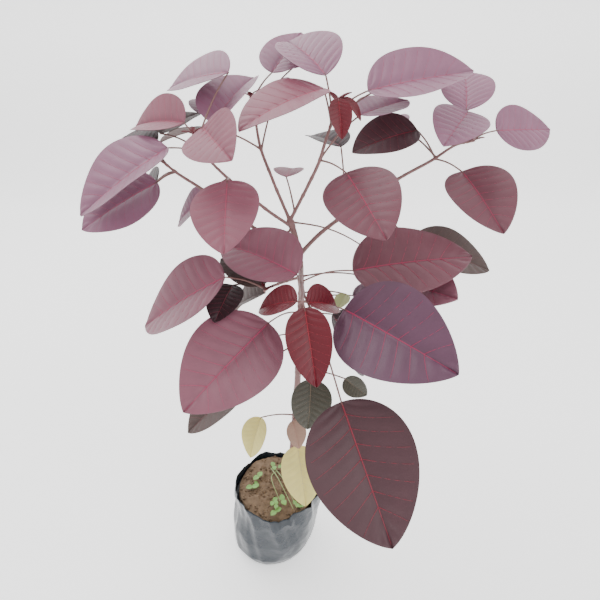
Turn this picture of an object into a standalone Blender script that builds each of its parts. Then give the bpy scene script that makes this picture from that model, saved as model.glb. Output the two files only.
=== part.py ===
"""Caribbean copper plant (Euphorbia cotinifolia): a young shrub, about 60 cm tall, in a black nursery bag.

The origin is the middle of the bag's flat underside, +Z is up and -Y is the side that the plant shows
to the front. Lengths in the tables are millimetres and angles are degrees. An azimuth is counted from
+X towards +Y, a rise is above the horizon, and a stem's "at" is the way along it from its foot.
"""

from collections import namedtuple
from math import cos, pi, radians, sin
import random

import bmesh
import bpy
from mathutils import Vector
from mathutils.bvhtree import BVHTree
from mathutils.geometry import intersect_point_line

MM = 0.001
SEED = 7
CLEARANCE = 0.3  # between a solid and the one that it meets

# The bag: height, radius and sideways shift of its sections, from the flat underside to the rim
BAG_UNDERSIDE_RADIUS = 41.0
BAG_SECTIONS = (
    (0.0, BAG_UNDERSIDE_RADIUS, -9.0),
    (4.0, 47.5, -9.0),
    (18.0, 53.0, -8.0),
    (45.0, 55.0, -5.0),
    (75.0, 53.5, -2.0),
    (98.0, 52.5, 0.0),
)
BAG_WALL = 1.2
BAG_FLOOR = 1.5
BAG_SIDES = 28
BAG_BULGE = 1.6
BAG_RIM_WAVE = 3.5
SOIL_TOP = 91.0
SOIL_CROWN = 3.0

# The trunk: a path from its flat cut at the soil to the fork, with its radius from flare to tip
TRUNK_FOOT_RISE = CLEARANCE + SOIL_TOP + SOIL_CROWN
TRUNK_PATH = (
    (16, 8, TRUNK_FOOT_RISE),
    (20, 5, 160),
    (24, 3, 229),
    (28, 0, 324),
    (29, 0, 385),
    (27, 0, 406),
    (24, 0, 423),
    (19, 0, 439),
)
TRUNK_RADII = ((0.0, 6.2), (0.02, 5.0), (0.06, 4.2), (0.5, 3.3), (0.97, 2.4), (1.0, 3.2))
TRUNK_SIDES = 10
TRUNK_DOME = ((1.6, 0.86), (2.8, 0.48), (3.1, 0.2))  # way past the fork, and share of its radius

# Each bough is one tapering limb that leaves the trunk: its path, and its radius at foot and tip
Bough = namedtuple("Bough", "path foot_radius tip_radius")
BOUGHS = {
    "bough_left": Bough(((21, 0, 433), (1, 0, 447), (-14, 2, 459), (-31, 5, 472)), 1.5, 1.4),
    "bough_low_left": Bough(((27, 0, 405), (-14, 4, 431), (-54, 5, 463), (-77, 5, 479)), 1.8, 1.3),
    "bough_mid_left": Bough(((19, 0, 439), (7, 12, 464), (2, 18, 475), (-6, 30, 492)), 1.5, 1.4),
    "bough_mid_right": Bough(((19, 0, 439), (33, 6, 465), (44, 10, 487)), 1.5, 1.5),
    "bough_right": Bough(((29, 0, 408), (47, 4, 426), (76, 12, 446), (117, 25, 470), (149, 35, 485)), 2.0, 1.4),
    "front_shoot": Bough(((29, 0, 393), (29, -30, 396), (30, -58, 399)), 2.0, 1.7),
    "left_shoot": Bough(((28, 0, 383), (14, -18, 387), (2, -35, 390)), 1.4, 1.2),
}
BOUGH_SIDES = 6

# A leaf: where its stalk leaves its stem, the stalk's length, azimuth and rise, the blade's length,
# width, azimuth, rise and roll, and how far the blade's halves are cupped and its tip droops
Leaf = namedtuple("Leaf", "at stalk blade cup droop", defaults=(13, 16))

# A crown is one mass: a stem that carries on from its bough, the leaves on it, and its young tip
Crown = namedtuple("Crown", "bough path tip_radius leaves tip_leaves tip_size")
CROWNS = {
    "crown_left": Crown(
        "bough_left",
        ((-31, 5, 472), (-48, 8, 488), (-59, 12, 501), (-63, 14, 512)),
        0.9,
        (
            Leaf(4, (22, 275, 9), (71, 56, 272, -32, 7), 5, 8),
            Leaf(5, (27, 193, -37), (49, 39, 152, -32, -40)),
            Leaf(32, (31, 197, 14), (91, 73, 208, -25, -15), 18, 15),
            Leaf(34, (30, 148, 51), (63, 50, 158, 6, -35), 23, 31),
            Leaf(36, (29, 65, 44), (77, 58, 62, 40, 0), 25, 27),
            Leaf(44, (67, 48, 53), (73, 58, 156, -3, -30), 14, 21),
            Leaf(33, (52, 149, 15), (49, 39, 50, 24, 5)),
            Leaf(35, (44, 99, 18), (45, 36, 172, -8, 5)),
            Leaf(38, (41, 79, 32), (55, 44, 99, 21, 0)),
        ),
        3,
        12,
    ),
    "crown_low_left": Crown(
        "bough_low_left",
        ((-77, 5, 479), (-90, 7, 489), (-101, 12, 494)),
        0.8,
        (
            Leaf(3, (18, 200, -24), (75, 60, 208, -20, -27), 5, 16),
            Leaf(4, (26, 150, -25), (66, 54, 142, -31, -42), 5, 13),
            Leaf(12, (32, 128, 16), (50, 40, 140, 14, -25)),
        ),
        3,
        10,
    ),
    "crown_mid_left": Crown(
        "bough_mid_left",
        ((-6, 30, 492), (-9, 33, 503), (-11, 37, 515), (-16, 45, 539)),
        0.9,
        (
            Leaf(4, (56, 209, 22), (68, 51, 293, -7, 39)),
            Leaf(3, (56, 70, 49), (55, 44, 106, 9, -25)),
            Leaf(44, (38, 55, 38), (60, 45, 56, 38, 14), 8, 9),
            Leaf(30, (63, 48, 39), (65, 52, 65, 23, 5)),
        ),
        3,
        9,
    ),
    "crown_mid_right": Crown(
        "bough_mid_right",
        ((44, 10, 487), (49, 12, 503), (55, 15, 521), (59, 17, 537)),
        1.0,
        (
            Leaf(4, (50, 21, 43), (56, 44, 32, 15, 12), 8, 11),
            Leaf(3, (28, 326, -16), (78, 62, 290, -22, 21), 8, 13),
            Leaf(34, (27, 172, 75), (82, 64, 211, -7, -10), 11, 27),
            Leaf(38, (34, 124, 71), (73, 58, 124, 35, -19), 21, 30),
            Leaf(40, (38, 27, 29), (90, 69, 0, 14, 31), 17, 11),
            Leaf(33, (75, 36, 22), (65, 52, 38, 12, 7)),
            Leaf(50, (6, 280, 40), (34, 20, 280, -50, 0), 15, 20),
            Leaf(50, (6, 10, 40), (24, 14, 345, -35, 20), 20, 25),
        ),
        2,
        16,
    ),
    "crown_right": Crown(
        "bough_right",
        ((149, 35, 485), (171, 43, 497), (191, 50, 500)),
        0.9,
        (
            Leaf(4, (31, 180, 51), (62, 50, 195, -7, -29), 14, 22),
            Leaf(3, (30, 359, -23), (78, 60, 285, -21, 17), 16, 17),
            Leaf(5, (53, 127, 23), (55, 44, 107, 4, -13)),
            Leaf(36, (29, 246, 69), (63, 49, 239, -13, -17), 12, 14),
            Leaf(38, (29, 221, 74), (62, 49, 78, 36, 0), 15, 16),
            Leaf(42, (27, 10, 20), (65, 51, 17, 1, 46), 6, 8),
            Leaf(37, (39, 81, 28), (50, 40, 89, 3, -34), 14, 20),
        ),
        3,
        12,
    ),
    "crown_front": Crown(
        "front_shoot",
        ((30, -58, 399), (30, -75, 402), (30, -90, 404)),
        1.2,
        (
            Leaf(4, (95, 304, -54), (111, 86, 292, -36, 20), 13, 12),
            Leaf(31, (5, 148, -12), (40, 32, 156, -14, -25), 17, 26),
            Leaf(31, (5, 45, -28), (39, 31, 34, -13, 32), 24, 32),
            Leaf(31, (5, 300, -53), (60, 36, 280, -40, 13), 17, 16),
        ),
        0,
        0,
    ),
    "crown_left_shoot": Crown(
        "left_shoot",
        ((2, -35, 390), (0, -40, 391), (-3, -45, 391)),
        0.9,
        (
            Leaf(8, (37, 190, 23), (98, 80, 176, -26, -21), 11, 19),
            Leaf(6, (35, 158, -5), (43, 33, 254, -15, -5)),
            Leaf(9, (18, 97, -36), (58, 46, 145, -27, -23), 23, 27),
        ),
        2,
        8,
    ),
}

# A lone leaf grows straight from the trunk or from the side of a bough
LONE_LEAVES = {
    "leaf_fork_small": ("bough_mid_right", Leaf(9, (33, 113, 54), (37, 29, 82, 8, 0))),
    "leaf_centre_low": ("trunk", Leaf(341, (57, 237, -45), (50, 39, 156, 23, -20))),
    "leaf_right_dark": ("bough_right", Leaf(70, (68, 11, -36), (79, 63, 341, -9, 17), 10, 15)),
    "leaf_right_back": ("trunk", Leaf(345, (112, 31, -27), (79, 63, 21, -5, 0))),
    "leaf_back_left": ("trunk", Leaf(336, (53, 120, -29), (60, 48, 141, -21, -14))),
    "leaf_right_upper": ("trunk", Leaf(284, (59, 328, 25), (104, 82, 358, 13, 22), 8, 13)),
    "leaf_right_brown": ("trunk", Leaf(290, (70, 1, -2), (88, 71, 309, 14, 29))),
    "leaf_light_green": ("trunk", Leaf(272, (47, 335, 11), (18, 15, 236, -21, 0))),
    "leaf_right_lower": ("trunk", Leaf(262, (51, 1, 8), (75, 60, 357, -11, 0))),
    "leaf_right_big": ("trunk", Leaf(252, (82, 300, 27), (104, 80, 312, -2, 41), 14, 14)),
    "leaf_left_big": ("trunk", Leaf(250, (65, 243, 19), (101, 80, 225, -23, -25), 11, 11)),
    "leaf_under_red": ("trunk", Leaf(246, (33, 344, 13), (74, 59, 338, -53, 0))),
    "leaf_centre_left": ("trunk", Leaf(258, (72, 266, 50), (81, 65, 153, 20, -22), 15, 26)),
    "leaf_back_low": ("trunk", Leaf(225, (59, 152, -28), (70, 56, 154, -13, 0))),
    "leaf_left_low": ("trunk", Leaf(214, (72, 201, -29), (73, 58, 210, -24, 0))),
    "leaf_green_small": ("trunk", Leaf(175, (66, 318, 21), (28, 22, 337, -33, 67))),
    "leaf_green": ("trunk", Leaf(180, (39, 290, 19), (51, 43, 269, -54, -15), 15, 24)),
    "leaf_pale": ("trunk", Leaf(108, (10, 250, 20), (32, 25, 297, -48, -6))),
    "leaf_yellow_short": ("trunk", Leaf(112, (40, 193, 7), (46, 36, 241, -47, 12))),
    "leaf_yellow_long": ("trunk", Leaf(92, (21, 280, -32), (64, 51, 283, -33, -10))),
    "leaf_behind_right": ("bough_right", Leaf(55, (59, 106, 70), (51, 41, 123, 14, -5), 15, 21)),
    "leaf_right_bough_back": ("bough_right", Leaf(90, (42, 118, -13), (65, 52, 37, -8, 9))),
    "leaf_left_bough_back": ("bough_low_left", Leaf(60, (42, 104, 4), (60, 48, 138, -13, -18))),
}

STALK_FOOT_RADIUS = 1.1
STALK_TIP_RADIUS = 0.8
STALK_ARCH = 0.07  # of its length, upwards
STALK_SUNK = 0.1  # of the blade's length, that the stalk runs on under the blade
STALK_SIDES = 4
BLADE_THICKNESS = 0.012  # of its length
BLADE_STATIONS = (0.0, 0.05, 0.16, 0.32, 0.5, 0.68, 0.85, 1.0)
YOUNG_STATIONS = (0.0, 0.15, 0.5, 1.0)
BLADE_SHOULDER = 0.52  # powers that round the blade's base and draw out its tip
BLADE_POINT = 0.80
BLADE_END = 0.012  # the way along, whose width the blade's two ends keep


def clear_scene():
    for thing in list(bpy.data.objects):
        bpy.data.objects.remove(thing)


def make_material(name, colour, roughness, metallic=0.0):
    material = bpy.data.materials.new(name)
    material.use_nodes = True
    shader = material.node_tree.nodes["Principled BSDF"]
    shader.inputs["Base Color"].default_value = (*colour, 1.0)
    shader.inputs["Roughness"].default_value = roughness
    shader.inputs["Metallic"].default_value = metallic
    return material


def lofted(sections):
    """A closed mesh through sections of equally many points, with a face over each end."""
    form = bmesh.new()
    rings = [[form.verts.new(point * MM) for point in section] for section in sections]
    for low, high in zip(rings, rings[1:]):
        count = len(low)
        for i in range(count):
            j = (i + 1) % count
            form.faces.new((low[i], low[j], high[j], high[i]))
    form.faces.new(rings[0][::-1])
    form.faces.new(rings[-1])
    bmesh.ops.recalc_face_normals(form, faces=form.faces)
    bmesh.ops.triangulate(form, faces=form.faces)
    mesh = bpy.data.meshes.new("solid")
    form.to_mesh(mesh)
    form.free()
    return mesh


def add_object(name, mesh, material, smooth=True):
    thing = bpy.data.objects.new(name, mesh)
    thing.name = name
    mesh.name = name
    mesh.materials.clear()
    mesh.materials.append(material)
    if smooth:
        mesh.shade_smooth()
        mesh.set_sharp_from_angle(angle=radians(50))
    bpy.context.scene.collection.objects.link(thing)
    return thing


def direction(azimuth, rise):
    azimuth, rise = radians(azimuth), radians(rise)
    return Vector((cos(rise) * cos(azimuth), cos(rise) * sin(azimuth), sin(rise)))


def smooth_path(points, steps=5):
    """Points of a smooth curve through the given ones."""
    given = [Vector(point) for point in points]
    ends = [2 * given[0] - given[1]] + given + [2 * given[-1] - given[-2]]
    path = []
    for a, b, c, d in zip(ends, ends[1:], ends[2:], ends[3:]):
        for step in range(steps):
            t = step / steps
            even = 2 * b + (c - a) * t
            bend = (2 * a - 5 * b + 4 * c - d) * t**2 + (3 * b - a - 3 * c + d) * t**3
            path.append((even + bend) / 2)
    path.append(given[-1])
    return path


def limb_paths(bough_path, crown_path, steps=5):
    """One smooth curve, parted where the bough ends and its crown carries on."""
    whole = smooth_path(bough_path + crown_path[1:], steps)
    end = steps * (len(bough_path) - 1)
    return whole[: end + 1], whole[end:]


def path_length(path):
    return sum((b - a).length for a, b in zip(path, path[1:]))


def point_along(path, distance):
    """The point this far along a path, and the path's direction there."""
    for a, b in zip(path, path[1:]):
        step = (b - a).length
        if distance <= step:
            return a.lerp(b, distance / step), (b - a).normalized()
        distance -= step
    return path[-1], (path[-1] - path[-2]).normalized()


def stretch(path, start, end, steps):
    """Evenly spaced points of a path, from one distance along it to another."""
    return [point_along(path, start + (end - start) * i / steps)[0] for i in range(steps + 1)]


def rings_along(points, radii, sides, turn=0.0, first=None, last=None):
    """Round sections square to a path, which don't twist along it. First and last turn its two ends."""
    directions = [(b - a).normalized() for a, b in zip(points, points[2:])]
    directions.insert(0, first or (points[1] - points[0]).normalized())
    directions.append(last or (points[-1] - points[-2]).normalized())
    side = directions[0].orthogonal().normalized()
    rings = []
    for i, (point, along) in enumerate(zip(points, directions)):
        side = (side - side.project(along)).normalized()
        other = along.cross(side)
        angles = [2 * pi * k / sides + turn for k in range(sides)]
        rings.append([point + (side * cos(a) + other * sin(a)) * radii[i] for a in angles])
    return rings


def clear_start(path, own_radius, carrier_path, carrier_radius):
    """How far along a path its blunt end is clear of the limb that carries it, or of its domed end."""
    distance = 0.0
    while True:
        point, along = point_along(path, distance)
        nearest, limb = nearest_on(carrier_path, point)
        on_dome = (nearest - carrier_path[-1]).length < 0.01
        slant = 0 if on_dome else abs(along.dot(limb))
        reach = (point - nearest).length - own_radius * slant
        if reach >= carrier_radius + CLEARANCE:
            return distance
        distance += 0.1


def nearest_on(path, point):
    """The point of a path that is nearest to another, and the path's direction there."""
    best = None
    for a, b in zip(path, path[1:]):
        nearest, share = intersect_point_line(point, a, b)
        nearest = a.lerp(b, min(max(share, 0.0), 1.0))
        if best is None or (point - nearest).length < (point - best[0]).length:
            best = nearest, (b - a).normalized()
    return best


def tapered(steps, foot, tip):
    return [foot + (tip - foot) * i / steps for i in range(steps + 1)]


def half_width(t):
    """A blade's half width at a share of its length, where 1 is the widest."""
    t = min(max(t, BLADE_END), 1 - BLADE_END)
    widest = BLADE_SHOULDER / (BLADE_SHOULDER + BLADE_POINT)
    full = widest**BLADE_SHOULDER * (1 - widest) ** BLADE_POINT
    return t**BLADE_SHOULDER * (1 - t) ** BLADE_POINT / full


def blade_axes(azimuth, rise, roll):
    """The blade's right side, midrib direction and upper face."""
    along = direction(azimuth, rise)
    level = Vector((sin(radians(azimuth)), -cos(radians(azimuth)), 0.0))
    upper = level.cross(along)
    roll = radians(roll)
    return level * cos(roll) - upper * sin(roll), along, level * sin(roll) + upper * cos(roll)


def blade_point(foot, leaf, t, across, above):
    """A point of a blade: t along the midrib, across it from -1 to 1, and above its middle layer."""
    length, width, azimuth, rise, roll = leaf.blade
    right, along, upper = blade_axes(azimuth, rise, roll)
    droop, cup = radians(leaf.droop), radians(leaf.cup)
    bend = droop * t
    forward = length * sin(bend) / droop
    down = length * (1 - cos(bend)) / droop
    outward = half_width(t) * width / 2 * across
    lift = abs(outward) * sin(cup) + above
    tipped = along * sin(bend) + upper * cos(bend)
    return foot + right * outward * cos(cup) + along * forward - upper * down + tipped * lift


def blade_sections(foot, leaf, stations=BLADE_STATIONS):
    half = leaf.blade[0] * BLADE_THICKNESS / 2
    outline = ((1, half), (0, half), (-1, half), (-1, -half), (0, -half), (1, -half))
    return [
        [blade_point(foot, leaf, t, across, above) for across, above in outline]
        for t in stations
    ]


def stalk_points(start, leaf, steps=4):
    """The stalk: an arched line from its stem to the blade, which then runs on under the midrib."""
    length, azimuth, rise = leaf.stalk
    end = start + direction(azimuth, rise) * length
    arch = Vector((0, 0, STALK_ARCH * length))
    points = [start.lerp(end, i / steps) + arch * sin(pi * i / steps) for i in range(steps + 1)]
    under = -leaf.blade[0] * BLADE_THICKNESS * 0.35
    return points + [blade_point(end, leaf, STALK_SUNK, 0, under)], end


def leaf_meshes(stem_path, leaf, start_along=0.0):
    """The blade and the stalk of a leaf that grows from a point of its stem."""
    start, _ = point_along(stem_path, leaf.at)
    points, foot = stalk_points(start, leaf)
    if start_along:
        points = stretch(points, start_along, path_length(points), len(points) - 1)
    radii = tapered(len(points) - 1, STALK_FOOT_RADIUS, STALK_TIP_RADIUS)
    radii[-1] = STALK_TIP_RADIUS / 2
    stalk = lofted(rings_along(points, radii, STALK_SIDES, turn=pi / 4))
    return [lofted(blade_sections(foot, leaf)), stalk]


def tip_leaf_meshes(stem_path, count, size, chance):
    """Young leaves at a shoot's tip, in whorls of three, each whorl turned and smaller."""
    leaves = []
    for i in range(count):
        whorl, place = divmod(i, 3)
        azimuth = 120 * place + 60 * whorl + chance.uniform(-15, 15)
        length = size * (1 - 0.25 * whorl) * chance.uniform(0.85, 1.15)
        at = path_length(stem_path) - 1.5 + 0.5 * whorl
        rise = chance.uniform(25, 50) + 15 * whorl
        young = Leaf(at, (0, azimuth, rise), (length, length * 0.45, azimuth, rise, 0), 25, 20)
        foot, _ = point_along(stem_path, young.at)
        leaves.append([lofted(blade_sections(foot, young, YOUNG_STATIONS))])
    return leaves


def fused(name, meshes, material):
    """One solid from overlapping ones: hollows that fusing seals are filled and loose scraps dropped."""
    group = bpy.data.collections.new(name + "_pieces")
    bpy.context.scene.collection.children.link(group)
    whole = add_object(name, meshes[0], material)
    for mesh in meshes[1:]:
        piece = bpy.data.objects.new(name + "_piece", mesh)
        group.objects.link(piece)
    union = whole.modifiers.new("Union", "BOOLEAN")
    union.operation = "UNION"
    union.solver = "EXACT"
    union.operand_type = "COLLECTION"
    union.collection = group
    graph = bpy.context.evaluated_depsgraph_get()
    joined = bpy.data.meshes.new_from_object(whole.evaluated_get(graph))
    for piece in list(group.objects):
        bpy.data.objects.remove(piece)
    bpy.data.collections.remove(group)
    bpy.data.objects.remove(whole)
    keep_outer_shell(joined)
    return add_object(name, joined, material)


def keep_outer_shell(mesh):
    """Leaves only the largest closed shell of a mesh, as triangles."""
    form = bmesh.new()
    form.from_mesh(mesh)
    bmesh.ops.triangulate(form, faces=form.faces)
    shells = []
    waiting = set(form.verts)
    while waiting:
        shell, edge = set(), [waiting.pop()]
        while edge:
            point = edge.pop()
            shell.add(point)
            near = [other for link in point.link_edges for other in link.verts if other in waiting]
            waiting.difference_update(near)
            edge += near
        shells.append(shell)
    largest = max(shells, key=len)
    loose = [point for point in form.verts if point not in largest]
    bmesh.ops.delete(form, geom=loose, context="VERTS")
    form.to_mesh(mesh)
    form.free()


def tree_of(meshes):
    """A search tree over meshes that are already at their place."""
    points, faces = [], []
    for mesh in meshes:
        first = len(points)
        points += [vertex.co.copy() for vertex in mesh.vertices]
        faces += [[first + i for i in face.vertices] for face in mesh.polygons]
    return BVHTree.FromPolygons(points, faces)


def bag_radius(angle, height):
    """The bag's radius and shift at a height, with the soft bulges of filled film."""
    for (z0, r0, x0), (z1, r1, x1) in zip(BAG_SECTIONS, BAG_SECTIONS[1:]):
        if height <= z1:
            break
    share = min(max((height - z0) / (z1 - z0), 0.0), 1.0)
    fullness = min(height / 20.0, 1.0)
    waves = sin(3 * angle + 0.6) + 0.7 * sin(5 * angle + height / 25) + 0.4 * sin(8 * angle + 2)
    return r0 + (r1 - r0) * share + BAG_BULGE / 2 * fullness * waves, x0 + (x1 - x0) * share


def bag_ring(height, inset, rim_wave=0.0):
    ring = []
    for i in range(BAG_SIDES):
        angle = 2 * pi * i / BAG_SIDES
        radius, shift = bag_radius(angle, height)
        wave = sin(2 * angle + 0.9) + 0.6 * sin(5 * angle) + 0.4 * sin(7 * angle + 1)
        away = Vector((cos(angle), sin(angle), 0))
        ring.append(Vector((shift, 0, height + rim_wave * wave / 2)) + away * (radius - inset))
    return ring


def build_bag(material):
    """The filled bag: one film wall from the flat underside over the rim and down inside to its floor."""
    heights = [section[0] for section in BAG_SECTIONS]
    outer = [bag_ring(z, 0) for z in heights[:-1]] + [bag_ring(heights[-1], 0, BAG_RIM_WAVE)]
    inner = [bag_ring(heights[-1], BAG_WALL, BAG_RIM_WAVE)]
    inner += [bag_ring(z, BAG_WALL) for z in heights[-2:1:-1]]
    inner.append(bag_ring(BAG_FLOOR + 4, BAG_WALL + 2))
    inner.append(bag_ring(BAG_FLOOR, BAG_WALL + 4))
    return add_object("nursery_bag", lofted(outer + inner), material)


def build_soil(material):
    """The soil that fills the bag, a little heaped in the middle."""
    gap = BAG_WALL + CLEARANCE
    heights = [section[0] for section in BAG_SECTIONS[2:-1]] + [SOIL_TOP]
    rings = [bag_ring(BAG_FLOOR + CLEARANCE, gap + 4.5), bag_ring(BAG_FLOOR + 4, gap + 2.5)]
    rings += [bag_ring(z, gap + 0.2) for z in heights]
    heap = bag_ring(SOIL_TOP + SOIL_CROWN, gap)
    middle = sum(heap, Vector()) / len(heap)
    rings.append([point.lerp(middle, 0.45) for point in heap])
    return add_object("soil", lofted(rings), material)


def radius_at(share, stops):
    for (a, r0), (b, r1) in zip(stops, stops[1:]):
        if share <= b:
            return r0 + (r1 - r0) * (share - a) / (b - a)
    return stops[-1][1]


def build_trunk(material):
    """The trunk, from its flared flat cut to the fork."""
    path = smooth_path(TRUNK_PATH)
    whole = path_length(path)
    shares = [0.0, 0.02, 0.06, 0.15, 0.27, 0.4, 0.52, 0.64, 0.75, 0.84, 0.91, 0.96, 1.0]
    points = [point_along(path, share * whole)[0] for share in shares]
    points[1].xy = points[0].xy
    radii = [radius_at(share, TRUNK_RADII) for share in shares]
    end, along = point_along(path, whole)
    points += [end + along * past for past, _ in TRUNK_DOME]
    radii += [radii[-1] * share for _, share in TRUNK_DOME]
    rings = rings_along(points, radii, TRUNK_SIDES)
    for point in rings[0]:
        point.z = TRUNK_FOOT_RISE
    return add_object("trunk", lofted(rings), material)


def build_bough(name, bough, path, trunk_path, material):
    foot = path[0]
    shares = [i / 100 for i in range(101)]
    whole = path_length(trunk_path)
    share = min(shares, key=lambda share: (point_along(trunk_path, share * whole)[0] - foot).length)
    start = clear_start(path, bough.foot_radius, trunk_path, radius_at(share, TRUNK_RADII))
    steps = 2 + int(path_length(path) / 14)
    points = stretch(path, start, path_length(path), steps)
    radii = tapered(steps, bough.foot_radius, bough.tip_radius)
    last = point_along(path, path_length(path))[1]
    return add_object(name, lofted(rings_along(points, radii, BOUGH_SIDES, last=last)), material)


def build_crown(name, crown, path, limbs, material, chance):
    """A mass: its stem, with the leaves that touch no limb fused on."""
    steps = 2 + int(path_length(path) / 12)
    points = stretch(path, CLEARANCE, path_length(path), steps)
    foot_radius = BOUGHS[crown.bough].tip_radius
    radii = tapered(steps, foot_radius, crown.tip_radius)
    first = point_along(path, CLEARANCE)[1]
    meshes = [lofted(rings_along(points, radii, BOUGH_SIDES, first=first))]
    growth = [leaf_meshes(path, leaf) for leaf in crown.leaves]
    growth += tip_leaf_meshes(path, crown.tip_leaves, crown.tip_size, chance)
    for leaf in growth:
        if not tree_of(leaf).overlap(limbs):
            meshes += leaf
    return fused(name, meshes, material)


def carrier_radius(carrier, at, paths):
    """The radius of the trunk or of a bough where a leaf's stalk leaves it."""
    if carrier == "trunk":
        return radius_at(at / path_length(paths[carrier]), TRUNK_RADII)
    return BOUGHS[carrier].foot_radius


def build_lone_leaf(name, leaf, path, limb_radius, material):
    start, _ = point_along(path, leaf.at)
    points, _ = stalk_points(start, leaf)
    clear = clear_start(points, STALK_FOOT_RADIUS, path, limb_radius)
    return fused(name, leaf_meshes(path, leaf, clear), material)


def stem_paths():
    """The smooth path of the trunk, of each bough and of each crown's stem."""
    paths = {"trunk": smooth_path(TRUNK_PATH)}
    for name, crown in CROWNS.items():
        paths[crown.bough], paths[name] = limb_paths(BOUGHS[crown.bough].path, crown.path)
    return paths


def main():
    clear_scene()
    chance = random.Random(SEED)
    film = make_material("black_film", (0.05, 0.06, 0.07), 0.35)
    earth = make_material("brown_soil", (0.12, 0.08, 0.055), 0.95)
    bark = make_material("mauve_bark", (0.20, 0.11, 0.10), 0.6)
    foliage = make_material("copper_leaf", (0.20, 0.07, 0.10), 0.5)
    build_bag(film)
    build_soil(earth)
    trunk = build_trunk(bark)
    limbs = [trunk.data]
    paths = stem_paths()
    for name, bough in BOUGHS.items():
        built = build_bough(name, bough, paths[name], paths["trunk"], bark)
        limbs.append(built.data)
    limb_tree = tree_of(limbs)
    for name, crown in CROWNS.items():
        build_crown(name, crown, paths[name], limb_tree, foliage, chance)
    for name, (carrier, leaf) in LONE_LEAVES.items():
        build_lone_leaf(name, leaf, paths[carrier], carrier_radius(carrier, leaf.at, paths), foliage)


main()
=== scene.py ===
"""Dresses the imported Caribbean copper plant: bark, veined leaves, a crumpled film bag and soil."""

import random
from collections import namedtuple
from math import cos, pi, radians, sin

import bpy
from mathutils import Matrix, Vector, noise


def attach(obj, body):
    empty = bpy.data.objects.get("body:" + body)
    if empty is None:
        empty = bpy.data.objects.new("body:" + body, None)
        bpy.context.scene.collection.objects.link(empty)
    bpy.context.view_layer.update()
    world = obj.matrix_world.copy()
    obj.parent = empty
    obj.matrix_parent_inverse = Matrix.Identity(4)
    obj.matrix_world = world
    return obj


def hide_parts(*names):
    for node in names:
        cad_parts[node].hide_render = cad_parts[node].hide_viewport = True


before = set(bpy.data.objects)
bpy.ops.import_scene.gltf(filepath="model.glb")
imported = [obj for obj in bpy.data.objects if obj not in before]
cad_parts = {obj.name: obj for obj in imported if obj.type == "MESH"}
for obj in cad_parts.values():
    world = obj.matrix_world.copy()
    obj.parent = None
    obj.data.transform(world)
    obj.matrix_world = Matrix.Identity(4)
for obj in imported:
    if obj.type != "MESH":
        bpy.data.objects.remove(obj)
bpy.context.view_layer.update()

MM = 0.001
SEED = 7
PATH_STEPS = 5  # of a smooth path, from one given point to the next
CLEARANCE = 0.3  # between a solid and the one that it meets

# The bag: height, radius and sideways shift of its sections, from the flat underside to the rim
BAG_UNDERSIDE_RADIUS = 41.0
BAG_SECTIONS = (
    (0.0, BAG_UNDERSIDE_RADIUS, -9.0),
    (4.0, 47.5, -9.0),
    (18.0, 53.0, -8.0),
    (45.0, 55.0, -5.0),
    (75.0, 53.5, -2.0),
    (98.0, 52.5, 0.0),
)
BAG_WALL = 1.2
BAG_BULGE = 1.6
BAG_RIM_WAVE = 3.5
BULGE_START = 20.0  # height from which the bulges are full
BULGE_TURN = 25  # height over which one of them turns by a radian
SOIL_TOP = 91.0
SOIL_CROWN = 3.0

# The trunk: a path from its flat cut at the soil to the fork, with its radius from flare to tip
TRUNK_FOOT_RISE = CLEARANCE + SOIL_TOP + SOIL_CROWN
TRUNK_PATH = (
    (16, 8, TRUNK_FOOT_RISE),
    (20, 5, 160),
    (24, 3, 229),
    (28, 0, 324),
    (29, 0, 385),
    (27, 0, 406),
    (24, 0, 423),
    (19, 0, 439),
)
TRUNK_RADII = ((0.0, 6.2), (0.02, 5.0), (0.06, 4.2), (0.5, 3.3), (0.97, 2.4), (1.0, 3.2))
TRUNK_DOME = ((1.6, 0.86), (2.8, 0.48), (3.1, 0.2))  # way past the fork, and share of its radius

# Each bough is one tapering limb that leaves the trunk: its path, and its radius at foot and tip
Bough = namedtuple("Bough", "path foot_radius tip_radius")
BOUGHS = {
    "bough_left": Bough(((21, 0, 433), (1, 0, 447), (-14, 2, 459), (-31, 5, 472)), 1.5, 1.4),
    "bough_low_left": Bough(((27, 0, 405), (-14, 4, 431), (-54, 5, 463), (-77, 5, 479)), 1.8, 1.3),
    "bough_mid_left": Bough(((19, 0, 439), (7, 12, 464), (2, 18, 475), (-6, 30, 492)), 1.5, 1.4),
    "bough_mid_right": Bough(((19, 0, 439), (33, 6, 465), (44, 10, 487)), 1.5, 1.5),
    "bough_right": Bough(
        ((29, 0, 408), (47, 4, 426), (76, 12, 446), (117, 25, 470), (149, 35, 485)), 2.0, 1.4
    ),
    "front_shoot": Bough(((29, 0, 393), (29, -30, 396), (30, -58, 399)), 2.0, 1.7),
    "left_shoot": Bough(((28, 0, 383), (14, -18, 387), (2, -35, 390)), 1.4, 1.2),
}

# A leaf: where its stalk leaves its stem, the stalk's length, azimuth and rise, the blade's length,
# width, azimuth, rise and roll, and how far the blade's halves are cupped and its tip droops
Leaf = namedtuple("Leaf", "at stalk blade cup droop", defaults=(13, 16))

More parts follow.
